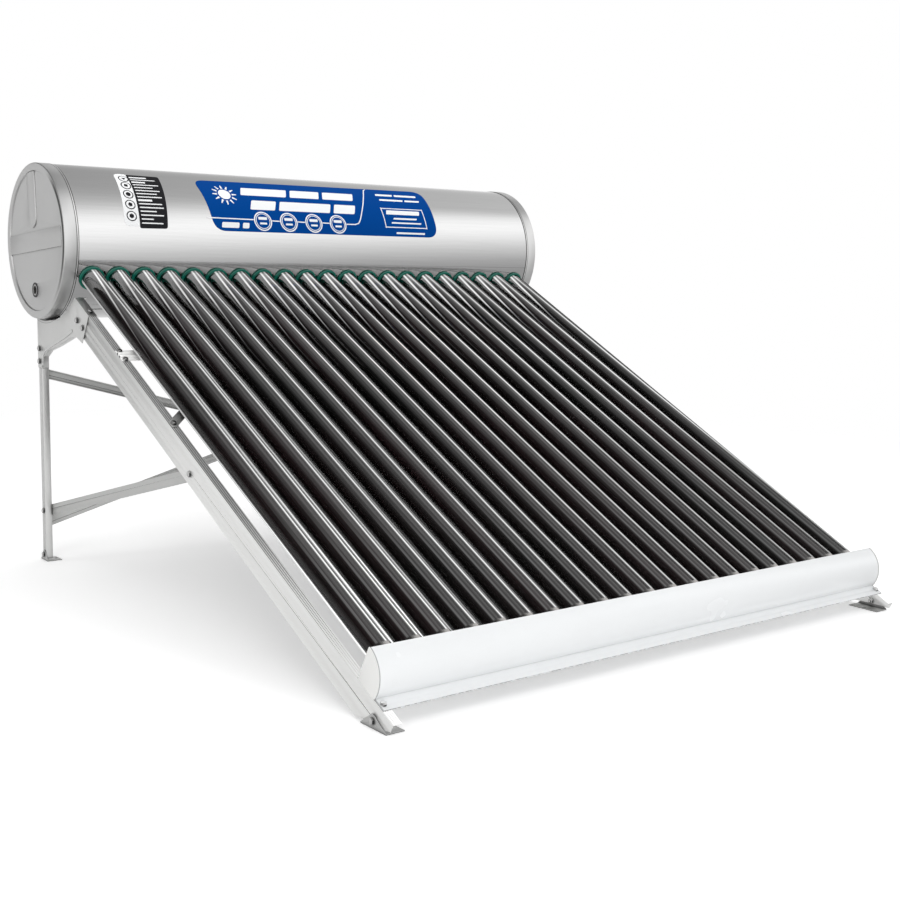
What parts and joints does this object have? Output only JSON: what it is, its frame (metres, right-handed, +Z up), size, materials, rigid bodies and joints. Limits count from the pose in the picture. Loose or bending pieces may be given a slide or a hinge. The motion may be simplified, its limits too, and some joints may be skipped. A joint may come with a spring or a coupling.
{
  "type": "solar water heater",
  "caption": "Evacuated-tube solar water heater: horizontal insulated tank on a sloping bolted stand, glass tubes running down to a lower holder, and four tilting feet.",
  "frame": {"origin": "on the ground, under the middle of the tank", "axes": "+X along the tank axis, -Y towards the low front end of the tubes, +Z up"},
  "size_m": [1.732, 1.9853, 1.1743],
  "materials": {
    "stainless": "bright rolled stainless sheet",
    "stainless_inner": "plain stainless",
    "cap_grey": "satin light grey",
    "foam": "rigid polyurethane foam",
    "silicone": "soft silicone",
    "green_rubber": "glossy green silicone",
    "dark_rubber": "matt rubber",
    "white_plastic": "white moulded plastic",
    "white_coat": "white powder coat",
    "frame_metal": "light grey satin sheet",
    "foot_metal": "satin sheet",
    "fastener": "bright plated",
    "absorber_glass": "clear glass over a near-black selective coating"
  },
  "bodies": {
    "root": {"tank_shell": "stainless", "inner_tank": "stainless_inner", "end_cap_left": "cap_grey", "end_cap_right": "cap_grey", "tank_insulation": "foam", "tube_seals": "silicone", "dust_rings": "green_rubber", "tube_cups": "white_plastic", "cold_inlet_socket": "stainless_inner", "hot_outlet_socket": "stainless_inner", "vent_pipe": "stainless_inner", "port_grommets": "dark_rubber", "saddle_pads": "dark_rubber", "leg_left": "frame_metal", "leg_right": "frame_metal", "rail_left": "frame_metal", "rail_right": "frame_metal", "saddle_left": "frame_metal", "saddle_right": "frame_metal", "side_brace_left": "frame_metal", "side_brace_right": "frame_metal", "rear_brace_rising": "frame_metal", "rear_brace_falling": "frame_metal", "upper_cross_rail": "frame_metal", "corner_brace_left": "frame_metal", "corner_brace_right": "frame_metal", "holder_cover": "white_coat", "holder_tray": "white_coat", "holder_end_left": "white_plastic", "holder_end_right": "white_plastic", "frame_bolts": "fastener", "frame_nuts": "fastener", "frame_washers": "fastener", "foot_pivot_bolts": "fastener", "tank_studs": "fastener"},
    "tube_01_body": {"tube_01": "absorber_glass"},
    "tube_02_body": {"tube_02": "absorber_glass"},
    "tube_03_body": {"tube_03": "absorber_glass"},
    "tube_04_body": {"tube_04": "absorber_glass"},
    "tube_05_body": {"tube_05": "absorber_glass"},
    "tube_06_body": {"tube_06": "absorber_glass"},
    "tube_07_body": {"tube_07": "absorber_glass"},
    "tube_08_body": {"tube_08": "absorber_glass"},
    "tube_09_body": {"tube_09": "absorber_glass"},
    "tube_10_body": {"tube_10": "absorber_glass"},
    "tube_11_body": {"tube_11": "absorber_glass"},
    "tube_12_body": {"tube_12": "absorber_glass"},
    "tube_13_body": {"tube_13": "absorber_glass"},
    "tube_14_body": {"tube_14": "absorber_glass"},
    "tube_15_body": {"tube_15": "absorber_glass"},
    "tube_16_body": {"tube_16": "absorber_glass"},
    "tube_17_body": {"tube_17": "absorber_glass"},
    "tube_18_body": {"tube_18": "absorber_glass"},
    "tube_19_body": {"tube_19": "absorber_glass"},
    "tube_20_body": {"tube_20": "absorber_glass"},
    "tube_21_body": {"tube_21": "absorber_glass"},
    "foot_front_left_body": {"foot_front_left": "foot_metal"},
    "foot_front_right_body": {"foot_front_right": "foot_metal"},
    "foot_rear_left_body": {"foot_rear_left": "foot_metal"},
    "foot_rear_right_body": {"foot_rear_right": "foot_metal"}
  },
  "joints": [
    {"name": "tube_01_slide", "type": "slide", "parent": "root", "child": "tube_01_body", "axis": [0, 0.8934, 0.4493], "range_m": [0, 0.06]},
    {"name": "tube_02_slide", "type": "slide", "parent": "root", "child": "tube_02_body", "axis": [0, 0.8934, 0.4493], "range_m": [0, 0.06]},
    {"name": "tube_03_slide", "type": "slide", "parent": "root", "child": "tube_03_body", "axis": [0, 0.8934, 0.4493], "range_m": [0, 0.06]},
    {"name": "tube_04_slide", "type": "slide", "parent": "root", "child": "tube_04_body", "axis": [0, 0.8934, 0.4493], "range_m": [0, 0.06]},
    {"name": "tube_05_slide", "type": "slide", "parent": "root", "child": "tube_05_body", "axis": [0, 0.8934, 0.4493], "range_m": [0, 0.06]},
    {"name": "tube_06_slide", "type": "slide", "parent": "root", "child": "tube_06_body", "axis": [0, 0.8934, 0.4493], "range_m": [0, 0.06]},
    {"name": "tube_07_slide", "type": "slide", "parent": "root", "child": "tube_07_body", "axis": [0, 0.8934, 0.4493], "range_m": [0, 0.06]},
    {"name": "tube_08_slide", "type": "slide", "parent": "root", "child": "tube_08_body", "axis": [0, 0.8934, 0.4493], "range_m": [0, 0.06]},
    {"name": "tube_09_slide", "type": "slide", "parent": "root", "child": "tube_09_body", "axis": [0, 0.8934, 0.4493], "range_m": [0, 0.06]},
    {"name": "tube_10_slide", "type": "slide", "parent": "root", "child": "tube_10_body", "axis": [0, 0.8934, 0.4493], "range_m": [0, 0.06]},
    {"name": "tube_11_slide", "type": "slide", "parent": "root", "child": "tube_11_body", "axis": [0, 0.8934, 0.4493], "range_m": [0, 0.06]},
    {"name": "tube_12_slide", "type": "slide", "parent": "root", "child": "tube_12_body", "axis": [0, 0.8934, 0.4493], "range_m": [0, 0.06]},
    {"name": "tube_13_slide", "type": "slide", "parent": "root", "child": "tube_13_body", "axis": [0, 0.8934, 0.4493], "range_m": [0, 0.06]},
    {"name": "tube_14_slide", "type": "slide", "parent": "root", "child": "tube_14_body", "axis": [0, 0.8934, 0.4493], "range_m": [0, 0.06]},
    {"name": "tube_15_slide", "type": "slide", "parent": "root", "child": "tube_15_body", "axis": [0, 0.8934, 0.4493], "range_m": [0, 0.06]},
    {"name": "tube_16_slide", "type": "slide", "parent": "root", "child": "tube_16_body", "axis": [0, 0.8934, 0.4493], "range_m": [0, 0.06]},
    {"name": "tube_17_slide", "type": "slide", "parent": "root", "child": "tube_17_body", "axis": [0, 0.8934, 0.4493], "range_m": [0, 0.06]},
    {"name": "tube_18_slide", "type": "slide", "parent": "root", "child": "tube_18_body", "axis": [0, 0.8934, 0.4493], "range_m": [0, 0.06]},
    {"name": "tube_19_slide", "type": "slide", "parent": "root", "child": "tube_19_body", "axis": [0, 0.8934, 0.4493], "range_m": [0, 0.06]},
    {"name": "tube_20_slide", "type": "slide", "parent": "root", "child": "tube_20_body", "axis": [0, 0.8934, 0.4493], "range_m": [0, 0.06]},
    {"name": "tube_21_slide", "type": "slide", "parent": "root", "child": "tube_21_body", "axis": [0, 0.8934, 0.4493], "range_m": [0, 0.06]},
    {"name": "foot_front_left_tilt", "type": "hinge", "parent": "root", "child": "foot_front_left_body", "pos_m": [-0.8412, -1.695, 0.016], "axis": [1, 0, 0], "range_deg": [-5, 5]},
    {"name": "foot_front_right_tilt", "type": "hinge", "parent": "root", "child": "foot_front_right_body", "pos_m": [0.8412, -1.695, 0.016], "axis": [1, 0, 0], "range_deg": [-5, 5]},
    {"name": "foot_rear_left_tilt", "type": "hinge", "parent": "root", "child": "foot_rear_left_body", "pos_m": [-0.8412, 0.045, 0.018], "axis": [1, 0, 0], "range_deg": [-8, 8]},
    {"name": "foot_rear_right_tilt", "type": "hinge", "parent": "root", "child": "foot_rear_right_body", "pos_m": [0.8412, 0.045, 0.018], "axis": [1, 0, 0], "range_deg": [-8, 8]}
  ]
}
